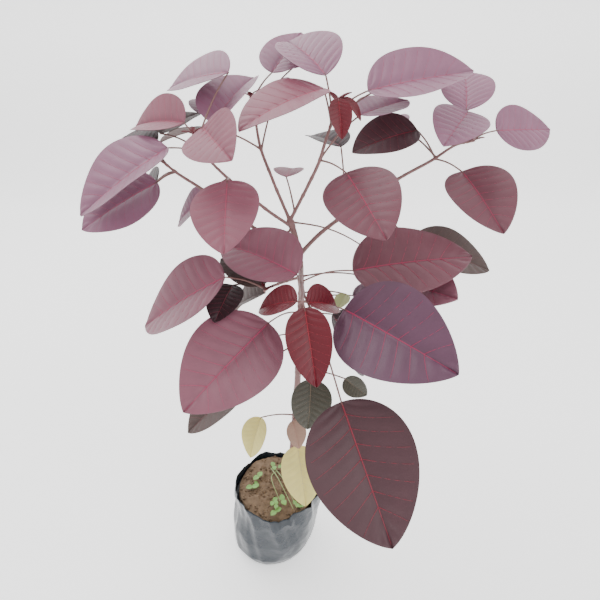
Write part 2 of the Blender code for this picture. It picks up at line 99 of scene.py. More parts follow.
# A crown is one mass: a stem that carries on from its bough, the leaves on it, and its young tip
Crown = namedtuple("Crown", "bough path tip_radius leaves tip_leaves tip_size")
CROWNS = {
    "crown_left": Crown(
        "bough_left",
        ((-31, 5, 472), (-48, 8, 488), (-59, 12, 501), (-63, 14, 512)),
        0.9,
        (
            Leaf(4, (22, 275, 9), (71, 56, 272, -32, 7), 5, 8),
            Leaf(5, (27, 193, -37), (49, 39, 152, -32, -40)),
            Leaf(32, (31, 197, 14), (91, 73, 208, -25, -15), 18, 15),
            Leaf(34, (30, 148, 51), (63, 50, 158, 6, -35), 23, 31),
            Leaf(36, (29, 65, 44), (77, 58, 62, 40, 0), 25, 27),
            Leaf(44, (67, 48, 53), (73, 58, 156, -3, -30), 14, 21),
            Leaf(33, (52, 149, 15), (49, 39, 50, 24, 5)),
            Leaf(35, (44, 99, 18), (45, 36, 172, -8, 5)),
            Leaf(38, (41, 79, 32), (55, 44, 99, 21, 0)),
        ),
        3,
        12,
    ),
    "crown_low_left": Crown(
        "bough_low_left",
        ((-77, 5, 479), (-90, 7, 489), (-101, 12, 494)),
        0.8,
        (
            Leaf(3, (18, 200, -24), (75, 60, 208, -20, -27), 5, 16),
            Leaf(4, (26, 150, -25), (66, 54, 142, -31, -42), 5, 13),
            Leaf(12, (32, 128, 16), (50, 40, 140, 14, -25)),
        ),
        3,
        10,
    ),
    "crown_mid_left": Crown(
        "bough_mid_left",
        ((-6, 30, 492), (-9, 33, 503), (-11, 37, 515), (-16, 45, 539)),
        0.9,
        (
            Leaf(4, (56, 209, 22), (68, 51, 293, -7, 39)),
            Leaf(3, (56, 70, 49), (55, 44, 106, 9, -25)),
            Leaf(44, (38, 55, 38), (60, 45, 56, 38, 14), 8, 9),
            Leaf(30, (63, 48, 39), (65, 52, 65, 23, 5)),
        ),
        3,
        9,
    ),
    "crown_mid_right": Crown(
        "bough_mid_right",
        ((44, 10, 487), (49, 12, 503), (55, 15, 521), (59, 17, 537)),
        1.0,
        (
            Leaf(4, (50, 21, 43), (56, 44, 32, 15, 12), 8, 11),
            Leaf(3, (28, 326, -16), (78, 62, 290, -22, 21), 8, 13),
            Leaf(34, (27, 172, 75), (82, 64, 211, -7, -10), 11, 27),
            Leaf(38, (34, 124, 71), (73, 58, 124, 35, -19), 21, 30),
            Leaf(40, (38, 27, 29), (90, 69, 0, 14, 31), 17, 11),
            Leaf(33, (75, 36, 22), (65, 52, 38, 12, 7)),
            Leaf(50, (6, 280, 40), (34, 20, 280, -50, 0), 15, 20),
            Leaf(50, (6, 10, 40), (24, 14, 345, -35, 20), 20, 25),
        ),
        2,
        16,
    ),
    "crown_right": Crown(
        "bough_right",
        ((149, 35, 485), (171, 43, 497), (191, 50, 500)),
        0.9,
        (
            Leaf(4, (31, 180, 51), (62, 50, 195, -7, -29), 14, 22),
            Leaf(3, (30, 359, -23), (78, 60, 285, -21, 17), 16, 17),
            Leaf(5, (53, 127, 23), (55, 44, 107, 4, -13)),
            Leaf(36, (29, 246, 69), (63, 49, 239, -13, -17), 12, 14),
            Leaf(38, (29, 221, 74), (62, 49, 78, 36, 0), 15, 16),
            Leaf(42, (27, 10, 20), (65, 51, 17, 1, 46), 6, 8),
            Leaf(37, (39, 81, 28), (50, 40, 89, 3, -34), 14, 20),
        ),
        3,
        12,
    ),
    "crown_front": Crown(
        "front_shoot",
        ((30, -58, 399), (30, -75, 402), (30, -90, 404)),
        1.2,
        (
            Leaf(4, (95, 304, -54), (111, 86, 292, -36, 20), 13, 12),
            Leaf(31, (5, 148, -12), (40, 32, 156, -14, -25), 17, 26),
            Leaf(31, (5, 45, -28), (39, 31, 34, -13, 32), 24, 32),
            Leaf(31, (5, 300, -53), (60, 36, 280, -40, 13), 17, 16),
        ),
        0,
        0,
    ),
    "crown_left_shoot": Crown(
        "left_shoot",
        ((2, -35, 390), (0, -40, 391), (-3, -45, 391)),
        0.9,
        (
            Leaf(8, (37, 190, 23), (98, 80, 176, -26, -21), 11, 19),
            Leaf(6, (35, 158, -5), (43, 33, 254, -15, -5)),
            Leaf(9, (18, 97, -36), (58, 46, 145, -27, -23), 23, 27),
        ),
        2,
        8,
    ),
}

# A lone leaf grows straight from the trunk or from the side of a bough
LONE_LEAVES = {
    "leaf_fork_small": ("bough_mid_right", Leaf(9, (33, 113, 54), (37, 29, 82, 8, 0))),
    "leaf_centre_low": ("trunk", Leaf(341, (57, 237, -45), (50, 39, 156, 23, -20))),
    "leaf_right_dark": ("bough_right", Leaf(70, (68, 11, -36), (79, 63, 341, -9, 17), 10, 15)),
    "leaf_right_back": ("trunk", Leaf(345, (112, 31, -27), (79, 63, 21, -5, 0))),
    "leaf_back_left": ("trunk", Leaf(336, (53, 120, -29), (60, 48, 141, -21, -14))),
    "leaf_right_upper": ("trunk", Leaf(284, (59, 328, 25), (104, 82, 358, 13, 22), 8, 13)),
    "leaf_right_brown": ("trunk", Leaf(290, (70, 1, -2), (88, 71, 309, 14, 29))),
    "leaf_light_green": ("trunk", Leaf(272, (47, 335, 11), (18, 15, 236, -21, 0))),
    "leaf_right_lower": ("trunk", Leaf(262, (51, 1, 8), (75, 60, 357, -11, 0))),
    "leaf_right_big": ("trunk", Leaf(252, (82, 300, 27), (104, 80, 312, -2, 41), 14, 14)),
    "leaf_left_big": ("trunk", Leaf(250, (65, 243, 19), (101, 80, 225, -23, -25), 11, 11)),
    "leaf_under_red": ("trunk", Leaf(246, (33, 344, 13), (74, 59, 338, -53, 0))),
    "leaf_centre_left": ("trunk", Leaf(258, (72, 266, 50), (81, 65, 153, 20, -22), 15, 26)),
    "leaf_back_low": ("trunk", Leaf(225, (59, 152, -28), (70, 56, 154, -13, 0))),
    "leaf_left_low": ("trunk", Leaf(214, (72, 201, -29), (73, 58, 210, -24, 0))),
    "leaf_green_small": ("trunk", Leaf(175, (66, 318, 21), (28, 22, 337, -33, 67))),
    "leaf_green": ("trunk", Leaf(180, (39, 290, 19), (51, 43, 269, -54, -15), 15, 24)),
    "leaf_pale": ("trunk", Leaf(108, (10, 250, 20), (32, 25, 297, -48, -6))),
    "leaf_yellow_short": ("trunk", Leaf(112, (40, 193, 7), (46, 36, 241, -47, 12))),
    "leaf_yellow_long": ("trunk", Leaf(92, (21, 280, -32), (64, 51, 283, -33, -10))),
    "leaf_behind_right": ("bough_right", Leaf(55, (59, 106, 70), (51, 41, 123, 14, -5), 15, 21)),
    "leaf_right_bough_back": ("bough_right", Leaf(90, (42, 118, -13), (65, 52, 37, -8, 9))),
    "leaf_left_bough_back": ("bough_low_left", Leaf(60, (42, 104, 4), (60, 48, 138, -13, -18))),
}

STALK_FOOT_RADIUS = 1.1
STALK_TIP_RADIUS = 0.8
STALK_ARCH = 0.07  # of its length, upwards
STALK_SUNK = 0.1  # of the blade's length, that the stalk runs on under the blade
STALK_UNDER = 0.35  # of the blade's thickness, that it runs below the middle layer
STALK_STEPS = 10
BLADE_THICKNESS = 0.012  # of its length
BLADE_SHOULDER = 0.52  # powers that round the blade's base and draw out its tip
BLADE_POINT = 0.80
BLADE_END = 0.0004  # the way along, whose width the two ends of a blade keep

# Leaf tones: base colour of the upper face, of the underside and of the veins, and roughness. The
# wine-red leaves get tones from lilac, the lightest, through rose, mauve, plum and purple to dark. The
# lighter ones are painted sky sheen and light on the upper leaves, and the darker ones are painted
# shade on the lower and inner leaves. Yellow and blush are the own colour of old, yellowing low leaves,
# brightened with painted sunlight.
Tone = namedtuple("Tone", "upper under vein roughness")
TONES = {
    "lilac": Tone((0.285, 0.125, 0.195), (0.17, 0.08, 0.11), (0.44, 0.10, 0.18), 0.42),
    "mauve": Tone((0.25, 0.088, 0.125), (0.14, 0.06, 0.08), (0.46, 0.06, 0.14), 0.45),
    "rose": Tone((0.27, 0.088, 0.125), (0.17, 0.07, 0.09), (0.44, 0.08, 0.14), 0.5),
    "plum": Tone((0.165, 0.054, 0.074), (0.10, 0.04, 0.05), (0.40, 0.04, 0.10), 0.45),
    "purple": Tone((0.115, 0.045, 0.082), (0.09, 0.035, 0.05), (0.40, 0.03, 0.10), 0.45),
    "brown": Tone((0.072, 0.026, 0.034), (0.09, 0.045, 0.04), (0.27, 0.03, 0.05), 0.5),
    "olive": Tone((0.085, 0.052, 0.046), (0.10, 0.065, 0.055), (0.2, 0.07, 0.07), 0.55),
    "dark": Tone((0.035, 0.013, 0.018), (0.035, 0.014, 0.018), (0.30, 0.05, 0.08), 0.45),
    "crimson": Tone((0.115, 0.0015, 0.010), (0.10, 0.003, 0.012), (0.33, 0.02, 0.035), 0.4),
    "green": Tone((0.050, 0.046, 0.030), (0.06, 0.06, 0.04), (0.2, 0.14, 0.09), 0.5),
    "pale": Tone((0.50, 0.56, 0.26), (0.42, 0.48, 0.2), (0.5, 0.5, 0.3), 0.55),
    "yellow": Tone((0.80, 0.70, 0.24), (0.6, 0.5, 0.2), (0.7, 0.6, 0.3), 0.55),
    "blush": Tone((0.36, 0.22, 0.16), (0.3, 0.19, 0.15), (0.42, 0.2, 0.16), 0.55),
}
# Each leaf's tone: the lighter tones paint sheen and light on upper leaves, and the darker ones paint
# shade on lower and inner leaves
CROWN_TONES = {
    "crown_left": "rose lilac lilac rose lilac lilac olive brown lilac".split(),
    "crown_low_left": "lilac dark dark".split(),
    "crown_mid_left": "rose lilac lilac lilac".split(),
    "crown_mid_right": "lilac plum rose lilac lilac lilac crimson crimson".split(),
    "crown_right": "brown plum lilac lilac lilac lilac lilac".split(),
    "crown_front": "brown crimson crimson crimson".split(),
    "crown_left_shoot": "mauve dark olive".split(),
}
# Each lone leaf's tone: the lighter tones paint sheen and light, and purple and dark paint shade.
# Yellow and blush are old leaves' own colour with painted sunlight
LONE_TONES = {
    "leaf_fork_small": "mauve",
    "leaf_centre_low": "olive",
    "leaf_right_dark": "olive",
    "leaf_right_back": "mauve",
    "leaf_back_left": "mauve",
    "leaf_right_upper": "plum",
    "leaf_right_brown": "mauve",
    "leaf_light_green": "pale",
    "leaf_right_lower": "purple",
    "leaf_right_big": "purple",
    "leaf_left_big": "mauve",
    "leaf_under_red": "dark",
    "leaf_centre_left": "mauve",
    "leaf_back_low": "mauve",
    "leaf_left_low": "olive",
    "leaf_green_small": "green",
    "leaf_green": "green",
    "leaf_pale": "blush",
    "leaf_yellow_short": "yellow",
    "leaf_yellow_long": "yellow",
    "leaf_behind_right": "dark",
    "leaf_right_bough_back": "mauve",
    "leaf_left_bough_back": "mauve",
}

# The dressed stalk, finer than the solid one
STALK_SLIM = (0.8, 0.75)  # of the solid's radius, at foot and tip
STALK_JOINTS = ((0, 1.45), (-3, 1.15), (-1, 0.5))  # sections that swell or shrink, and how far
SHORTEST_STALK = 2  # anything shorter isn't seen
STALK_ROUND = 8
PHASE_TURN = 20  # degrees of azimuth that shift a margin's wave by a radian

# The dressed blade. What grows with the leaf is given for a blade of the usual length
USUAL_LENGTH = 80
FULL_GRID = (58, 26)  # steps along and across
YOUNG_GRID = (10, 8)
SKIN = 0.45  # thickness
PUFF = 0.75  # how far the blade swells between its side veins
PUFF_SLOPE = 4  # how soon it does so beside the midrib
EDGE_WAVE = 0.9  # how far the margin waves up and down
EDGE_TURN = 7  # radians of the margin's wave along a blade
GROOVE = 0.5  # along the midrib
GROOVE_SLOPE = 9
SHARP_ANGLE = 60  # degrees, from which an edge isn't smoothed

SIDE_VEINS = 8
YOUNG_VEINS = 5
VEIN_SLANT = 0.20  # of the blade's length, that a side vein gains on its way out
VEIN_CURVE = 0.3  # how far it gains less and less
VEIN_SPREAD = 0.86  # of the length, along which side veins leave the midrib
VEIN_BACK = 0.02  # of the length, that they all start earlier
VEIN_REACH = 0.9  # of the way to the margin
VEIN_END = 0.97  # of the way to the blade's tip
VEIN_STEPS = 9
VEIN_FEWEST = 4  # spots of a side vein that is drawn
VEIN_LIFT = 0.16  # of its middle above the upper face
VEIN_ROUND = 4
SIDE_VEIN_RADIUS = 0.19
SIDE_VEIN_TAPER = 0.45  # of its radius, left at its end
MIDRIB_START = 0.01
MIDRIB_SPAN = 0.97
MIDRIB_STEPS = 18
MIDRIB_LIFT = 0.28  # of its middle above the middle layer
MIDRIB_ROUND = 6
MIDRIB_RADIUS = 0.62
MIDRIB_TAPER = 0.75  # of its radius, lost by its end

# Young leaves at a shoot's tip, in whorls of three that are smaller, steeper and turned further up
WHORL = 3
YOUNG_TONE = "crimson"
YOUNG_TURN = 60
YOUNG_SHRINK = 0.25
YOUNG_WIDTH = 0.45  # of its length
YOUNG_BACK = 1.5  # from the tip of the stem, to the lowest whorl
YOUNG_APART = 0.5
YOUNG_STEEPER = 15
YOUNG_STRAY = (-15, 15)
YOUNG_SIZES = (0.85, 1.15)
YOUNG_RISES = (25, 50)
YOUNG_CUP, YOUNG_DROOP = 25, 20

# A limb's bark: sides, depth of its lengthwise ridges, and height and width of an old leaf's scar
Bark = namedtuple("Bark", "sides relief scar_height scar_width")
TRUNK_BARK = Bark(28, 0.2, 0.45, 2.2)
BOUGH_BARK = Bark(16, 0.1, 0.3, 1.6)
STEM_BARK = Bark(14, 0.08, 0.35, 1.8)
LIMB_STEP = 1.6
LIMB_FEWEST = 3  # steps of the shortest limb
GRAIN_ROUND, GRAIN_ALONG = 0.9, 0.16  # how close the ridges stand round a limb and along it
NOISE_GAIN = 2  # because noise mostly keeps within half of its range
OLD_SCARS = (18, 36, 52, 74, 96, 122, 150, 200, 236, 305)  # along the trunk
BOUGH_SCARS = (0.45, 0.75)  # of a bough's length
SCAR_SPACING = 4  # on a crown's stem, where leaves stand closer than that
TRUNK_START = 0.2
BOUGH_START = 1.0
BOUGH_RUNS_ON = 0.3  # into its crown's stem
COLLAR = 0.7  # how much thicker a bough's foot is
COLLAR_LENGTH = 9

# The film: its folds' spacing round the bag and up it, their place in the noise, and their depth
Fold = namedtuple("Fold", "around rise place depth")
FOLDS = (Fold(1.7, 48, 3, 2.6), Fold(3.4, 150, 5, 1.6))
CRUMPLE = Fold(7, 11, 0, 0.35)
FOLD_MIDDLE = 0.6  # of a fold's height, that leaves the radius as it is
FOLD_LEAN = 0.5  # radians, from underside to rim
LOOSE_FOOT, LOOSE_RIM = 0.6, 1.2  # how loose the film is, and how much looser at the rim
SMOOTH_FOOT = 8  # the folds have their full depth from an eighth of the way up
RIM_START = 0.75  # of the height, from which the rim's wave grows
RIM_CRUMPLE = 1.2
RIM_WAVES = ((2, 1.0, 0.9), (5, 0.6, 0), (7, 0.4, 1))  # number, size and phase of each
BAG_GRID = (150, 60)  # steps round and up
WALL_FIRST = 2  # the first of those up that is a wall
UNDERSIDE_RINGS = (
    (8, 0.0),
    (24, 0.0),
    (BAG_UNDERSIDE_RADIUS - 4, 0.0),
    (BAG_UNDERSIDE_RADIUS, 0.15),
)
RIM_INSET, RIM_RISE = 0.5, 0.3
FILM_THICKNESS = 0.9
LINING_END = 0.82  # of the height, where the lining goes in under the soil
LINING_INSET = 6

# Sprouts in the soil: place of each, and the height, azimuth and size of its round leaves
SPROUTS = (
    (-25, 8, 7, 60, 8),
    (-32, -5, 5, 200, 8),
    (-27, -1, 4, 310, 5),
    (-4, -27, 6, 250, 7),
    (7, -29, 8, 300, 8),
    (-1, -40, 5, 230, 8),
    (0, -33, 7, 100, 6),
    (23, -31, 6, 320, 6),
    (29, -33, 5, 20, 5),
    (-6, 24, 8, 120, 7),
    (4, 26, 6, 60, 6),
)
GREEN_STEMS = (
    ((-10, 24, 96), (2, -4, 107), (20, -38, 98)),
    ((-4, 22, 96), (8, -2, 104), (24, -36, 98)),
    ((-2, 20, 96), (-8, 2, 103), (4, -28, 99)),
)
GREEN_STEM_STEPS = 6
GREEN_STEM_RADII = (0.6, 0.35)
SPROUT_LINE = ((1, 0), (0.4, 0.5), (0, 1))  # how far its stem leans, and the share of its height
SPROUT_RADII = (0.4, 0.35, 0.3)
SPROUT_ROUND = 6
SPROUT_SUNK = 1.0
SPROUT_WIDTH = 0.85  # of the leaf's length
SPROUT_LEAVES = (0, 160)  # how far each is turned
SPROUT_RISE, SPROUT_CUP, SPROUT_DROOP = 12, 10, 15

# The soil: steps round and inwards, the rings of its sides, and its loose crumbs
SOIL_ROUND, SOIL_RINGS = 90, 24
SOIL_SIDES = (60, 70, 80)
SOIL_REACH = 0.96  # of the way to the film
SOIL_GAP = 1.6
SOIL_SPREAD = 14  # the size of its lumps
SOIL_LUMPS = ((1.0, 2.2), (3.1, 1.5))  # how much finer than that, and how high
SOIL_CLODS = (8, 1.6)
SOIL_PLANE = 2.0  # place in the noise
SOIL_MIDDLE = 0.6  # of its crown, as the height between lumps
SOIL_SINK = 2.5  # at the film
SOIL_SINK_POWER = 6
CRUMBS = 260
CRUMB_SIZES = (0.5, 1.9)
CRUMB_PLACES = (0.05, 0.9)
CRUMB_SPREAD = 0.6  # a power that moves them outwards
CRUMB_PROUD = 0.3  # of its size, above the soil
CRUMB_BUMPS = (0.75, 1.2)
CRUMB_RINGS, CRUMB_ROUND = 5, 7

# The studio: a sweep with a level floor, a round corner and a far wall
FLOOR = -0.4
FLOOR_NEAR, FLOOR_FAR = -3000, 1500
CORNER = 700
CORNER_STEP = 10  # degrees
WALL_TOP = 4000
STRAIGHT_UP = 90
SWEEP_HALF = 4000
SWEEP_GLOW = 0.9
SKY_GLOW = 0.95
LAMPS = (
    ("key_light", (-0.7, 0.5, 1.9), (0.0, 0.0, 0.4), 1.4, 22.0),
    ("fill_light", (1.0, -0.9, 1.3), (0.0, 0.0, 0.3), 1.2, 9.0),
)
CAMERA_PLACE = (0.028, -0.385, 0.563)
CAMERA_DOWN = 28
CAMERA_LENS = 26.58
CAMERA_SENSOR = 36.0
CAMERA_CLIP = 0.01

# A material: its colour, its roughness, how far and at what scale it is mottled, and its bump's
# strength and scale
Look = namedtuple("Look", "colour roughness mottle scale bump", defaults=(60.0, None))
BARK_LOOK = Look((0.235, 0.12, 0.115), 0.55, 0.3, 120.0, (0.4, 1500.0))
STALK_LOOK = Look((0.20, 0.10, 0.09), 0.5, 0.3, 25.0)
FILM_LOOK = Look((0.018, 0.026, 0.036), 0.24, 0.2, 40.0, (0.5, 220.0))
EARTH_LOOK = Look((0.20, 0.135, 0.085), 0.95, 0.5, 180.0, (0.8, 900.0))
GREEN_LOOK = Look((0.20, 0.42, 0.10), 0.5, 0.3)
PALE_LOOK = Look((0.33, 0.45, 0.18), 0.5, 0.3)
WHITE_LOOK = Look((0.97, 0.97, 0.97), 0.9, 0.0)
UPPER_MOTTLE, UNDER_MOTTLE, VEIN_MOTTLE = 0.18, 0.15, 0.05
LEAF_SCALE = 55.0
LEAF_BUMP = (0.25, 900.0)
UNDER_ROUGHER = 0.1
VEIN_ROUGHNESS = 0.5
MOTTLE_DETAIL, BUMP_DETAIL = 3.0, 4.0
BUMP_DISTANCE = 0.0006

STALK_NUMBER, BARK_NUMBER = 0, 1  # of the first two materials of all foliage
MIX_FACTOR, MIX_LOW, MIX_HIGH, MIX_COLOUR = 0, 6, 7, 2  # a mix node's sockets for colours


def direction(azimuth, rise):
    azimuth, rise = radians(azimuth), radians(rise)
    return Vector((cos(rise) * cos(azimuth), cos(rise) * sin(azimuth), sin(rise)))


def smooth_path(points, steps=PATH_STEPS):
    """Points of a smooth curve through the given ones."""
    given = [Vector(point) for point in points]
    ends = [2 * given[0] - given[1]] + given + [2 * given[-1] - given[-2]]
    path = []
    for a, b, c, d in zip(ends, ends[1:], ends[2:], ends[3:]):
        for step in range(steps):
            t = step / steps
            even = 2 * b + (c - a) * t
            bend = (2 * a - 5 * b + 4 * c - d) * t**2 + (3 * b - a - 3 * c + d) * t**3
            path.append((even + bend) / 2)
    path.append(given[-1])
    return path


def limb_paths(bough_path, crown_path):
    """One smooth curve, parted where the bough ends and its crown carries on."""
    whole = smooth_path(bough_path + crown_path[1:])
    end = PATH_STEPS * (len(bough_path) - 1)
    return whole[: end + 1], whole[end:]


def stem_paths():
    """The smooth path of the trunk, of each bough and of each crown's stem."""
    paths = {"trunk": smooth_path(TRUNK_PATH)}
    for name, crown in CROWNS.items():
        paths[crown.bough], paths[name] = limb_paths(BOUGHS[crown.bough].path, crown.path)
    return paths


def path_length(path):
    return sum((b - a).length for a, b in zip(path, path[1:]))


def point_along(path, distance):
    """The point this far along a path, and the path's direction there."""
    for a, b in zip(path, path[1:]):
        step = (b - a).length
        if distance <= step:
            return a.lerp(b, distance / step), (b - a).normalized()
        distance -= step
    return path[-1], (path[-1] - path[-2]).normalized()


def rings_along(points, radii, sides):
    """Round sections square to a path, which don't twist along it."""
    directions = [(b - a).normalized() for a, b in zip(points, points[2:])]
    directions.insert(0, (points[1] - points[0]).normalized())
    directions.append((points[-1] - points[-2]).normalized())
    side = directions[0].orthogonal().normalized()
    angles = [2 * pi * k / sides for k in range(sides)]
    rings = []
    for point, radius, along in zip(points, radii, directions):
        side = (side - side.project(along)).normalized()
        other = along.cross(side)
        rings.append([point + (side * cos(a) + other * sin(a)) * radius for a in angles])
    return rings


def tapered(steps, foot, tip):
    """Radii that go evenly from foot to tip."""
    return [foot + (tip - foot) * i / steps for i in range(steps + 1)]


def radius_at(share, stops):
    """The radius at a share of a limb's length, between the two stops on either side."""
    for (a, r0), (b, r1) in zip(stops, stops[1:]):
        if share <= b:
            return r0 + (r1 - r0) * (share - a) / (b - a)
    return stops[-1][1]


def half_width(t):
    """A blade's half width at a share of its length, where 1 is the widest."""
    t = min(max(t, BLADE_END), 1 - BLADE_END)
    widest = BLADE_SHOULDER / (BLADE_SHOULDER + BLADE_POINT)
    full = widest**BLADE_SHOULDER * (1 - widest) ** BLADE_POINT
    return t**BLADE_SHOULDER * (1 - t) ** BLADE_POINT / full


def blade_axes(azimuth, rise, roll):
    """The blade's right side, midrib direction and upper face."""
    along = direction(azimuth, rise)
    level = Vector((sin(radians(azimuth)), -cos(radians(azimuth)), 0.0))
    upper = level.cross(along)
    roll = radians(roll)
    return level * cos(roll) - upper * sin(roll), along, level * sin(roll) + upper * cos(roll)


def blade_point(foot, leaf, t, across, above):
    """A point of a blade: t along the midrib, across it from -1 to 1, and above its middle layer."""
    length, width, azimuth, rise, roll = leaf.blade
    right, along, upper = blade_axes(azimuth, rise, roll)
    droop, cup = radians(leaf.droop), radians(leaf.cup)
    bend = droop * t
    forward = length * sin(bend) / droop
    down = length * (1 - cos(bend)) / droop
    outward = half_width(t) * width / 2 * across
    lift = abs(outward) * sin(cup) + above
    tipped = along * sin(bend) + upper * cos(bend)
    return foot + right * outward * cos(cup) + along * forward - upper * down + tipped * lift


def stalk_points(start, leaf):
    """The stalk: an arched line from its stem to the blade, which then runs on under the midrib."""
    length, azimuth, rise = leaf.stalk
    end = start + direction(azimuth, rise) * length
    arch = Vector((0, 0, STALK_ARCH * length))
    shares = [i / STALK_STEPS for i in range(STALK_STEPS + 1)]
    points = [start.lerp(end, share) + arch * sin(pi * share) for share in shares]
    under = -leaf.blade[0] * BLADE_THICKNESS * STALK_UNDER
    return points + [blade_point(end, leaf, STALK_SUNK, 0, under)], end


def vein_gain(v):
    """How far a side vein has moved towards the tip at v, from midrib to margin."""
    return VEIN_SLANT * v * (1 - VEIN_CURVE * v)


def vein_number(t, v):
    """A whole number on each side vein, and halfway between two of them midway."""
    return (t + VEIN_BACK - vein_gain(abs(v))) / VEIN_SPREAD * SIDE_VEINS


def skin_point(foot, leaf, t, v, phase, above):
    """A point of the dressed blade, which swells between its veins and waves at its margin."""
    size = leaf.blade[0] / USUAL_LENGTH
    swell = abs(sin(pi * vein_number(t, v))) * (1 - v**4) * min(abs(v) * PUFF_SLOPE, 1)
    wave = EDGE_WAVE * abs(v) ** 3 * sin(EDGE_TURN * t + phase) * sin(pi * t)
    dip = -GROOVE * max(0.0, 1 - abs(v) * GROOVE_SLOPE)
    return blade_point(foot, leaf, t, v, above + size * (PUFF * swell + wave + dip))


class Shape:
    """Grows one mesh from tubes and blades, in millimetres, with a material number for each face."""

    def __init__(self):
        self.points, self.faces, self.numbers = [], [], []

    def grid(self, rows, number, closed=True):
        """Faces from each row of points to the next. Closed rows are rings, with a cap at both ends."""
        first, width = len(self.points), len(rows[0])
        self.points += [point for row in rows for point in row]
        for r in range(len(rows) - 1):
            for c in range(width if closed else width - 1):
                a, b = first + r * width + c, first + r * width + (c + 1) % width
                self.faces.append((a, b, b + width, a + width))
                self.numbers.append(number)
        if closed:
            last = first + (len(rows) - 1) * width
            self.faces.append(tuple(range(first + width - 1, first - 1, -1)))
            self.faces.append(tuple(range(last, last + width)))
            self.numbers += [number, number]

    def tube(self, points, radii, sides, number):
        self.grid(rings_along(points, radii, sides), number)

    def blade(self, foot, leaf, phase, steps, tones):
        """A blade as a closed skin, with one material number above and one below."""
        (rows, columns), (upper, lower) = steps, tones
        across = [2 * c / columns - 1 for c in range(columns + 1)]
        rings = []
        for r in range(rows + 1):
            t = (1 - cos(pi * r / rows)) / 2
            top = [skin_point(foot, leaf, t, v, phase, SKIN / 2) for v in across]
            bottom = [skin_point(foot, leaf, t, v, phase, -SKIN / 2) for v in reversed(across)]
            rings.append(top + bottom)
        start = len(self.faces)
        self.grid(rings, upper)
        width = len(rings[0])
        for k in range(start, len(self.faces) - 2):
            if (k - start) % width > columns:
                self.numbers[k] = lower

    def veins(self, foot, leaf, phase, number, count):
        """The midrib, proud of both faces of the blade, and the side veins on its upper face."""
        size = leaf.blade[0] / USUAL_LENGTH
        ts = [MIDRIB_START + MIDRIB_SPAN * i / MIDRIB_STEPS for i in range(MIDRIB_STEPS + 1)]
        line = [skin_point(foot, leaf, t, 0, phase, MIDRIB_LIFT) for t in ts]
        radii = [size * MIDRIB_RADIUS * (1 - MIDRIB_TAPER * t) for t in ts]
        self.tube(line, radii, MIDRIB_ROUND, number)
        vs = [VEIN_REACH * i / VEIN_STEPS for i in range(VEIN_STEPS + 1)]
        above = SKIN / 2 + VEIN_LIFT * size
        thick = size * SIDE_VEIN_RADIUS
        for k in range(1, count):
            spots = [(k / count * VEIN_SPREAD + vein_gain(v) - VEIN_BACK, v) for v in vs]
            spots = [(t, v) for t, v in spots if t < VEIN_END]
            if len(spots) < VEIN_FEWEST:
                continue
            radii = tapered(len(spots) - 1, thick, thick * SIDE_VEIN_TAPER)
            for side in (-1, 1):
                line = [skin_point(foot, leaf, t, v * side, phase, above) for t, v in spots]
                self.tube(line, radii, VEIN_ROUND, number)

    def finish(self, name, materials):
        """The mesh as an object in the scene, in metres."""
        mesh = bpy.data.meshes.new(name)
        mesh.from_pydata([point * MM for point in self.points], [], self.faces)
        for material in materials:
            mesh.materials.append(material)
        mesh.polygons.foreach_set("material_index", self.numbers)
        mesh.validate()
        mesh.shade_smooth()
        mesh.set_sharp_from_angle(angle=radians(SHARP_ANGLE))
        thing = bpy.data.objects.new(name, mesh)
        bpy.context.scene.collection.objects.link(thing)
        return thing


def noise_texture(nodes, links, place, scale, detail):
    texture = nodes.new("ShaderNodeTexNoise")
    texture.inputs["Scale"].default_value = scale
    texture.inputs["Detail"].default_value = detail
    links.new(place, texture.inputs["Vector"])
    return texture.outputs["Fac"]


def shader_material(name, look):
    """A Principled material, mottled a little in the object's own space."""
    material = bpy.data.materials.new(name)
    material.use_nodes = True
    nodes, links = material.node_tree.nodes, material.node_tree.links
    shader = nodes["Principled BSDF"]
    shader.inputs["Roughness"].default_value = look.roughness
    place = nodes.new("ShaderNodeTexCoord").outputs["Object"]
    mottle = noise_texture(nodes, links, place, look.scale, MOTTLE_DETAIL)
    mix = nodes.new("ShaderNodeMix")
    mix.data_type = "RGBA"
    mix.inputs[MIX_LOW].default_value = (*[c * (1 - look.mottle) for c in look.colour], 1.0)
    mix.inputs[MIX_HIGH].default_value = (*[c * (1 + look.mottle) for c in look.colour], 1.0)
    links.new(mottle, mix.inputs[MIX_FACTOR])
    links.new(mix.outputs[MIX_COLOUR], shader.inputs["Base Color"])
    if look.bump:
        strength, scale = look.bump
        grain = noise_texture(nodes, links, place, scale, BUMP_DETAIL)
        relief = nodes.new("ShaderNodeBump")
        relief.inputs["Strength"].default_value = strength
        relief.inputs["Distance"].default_value = BUMP_DISTANCE
        links.new(grain, relief.inputs["Height"])
        links.new(relief.outputs["Normal"], shader.inputs["Normal"])
    return material


def leaf_materials():
    """The upper, under and vein materials of each tone."""
    made = {}
    for name, tone in TONES.items():
        rough = tone.roughness
        upper = Look(tone.upper, rough, UPPER_MOTTLE, LEAF_SCALE, LEAF_BUMP)
        under = Look(tone.under, rough + UNDER_ROUGHER, UNDER_MOTTLE, LEAF_SCALE)
        vein = Look(tone.vein, VEIN_ROUGHNESS, VEIN_MOTTLE)
        looks = (("_upper", upper), ("_under", under), ("_vein", vein))
        made[name] = [shader_material(name + face, look) for face, look in looks]
    return made


def grow_leaf(shape, path, leaf, number, grid=FULL_GRID, vein_count=SIDE_VEINS):
    """A leaf's stalk, blade and veins. Number is the first of its tone's three materials."""
    start, _ = point_along(path, leaf.at)
    points, foot = stalk_points(start, leaf)
    phase = leaf.blade[2] / PHASE_TURN + leaf.at
    if leaf.stalk[0] > SHORTEST_STALK:
        at_foot, at_tip = STALK_SLIM
        radii = tapered(len(points) - 1, STALK_FOOT_RADIUS * at_foot, STALK_TIP_RADIUS * at_tip)
        for place, swelling in STALK_JOINTS:
            radii[place] *= swelling
        shape.tube(points, radii, STALK_ROUND, STALK_NUMBER)
    shape.blade(foot, leaf, phase, grid, (number, number + 1))
    shape.veins(foot, leaf, phase, number + 2, vein_count)


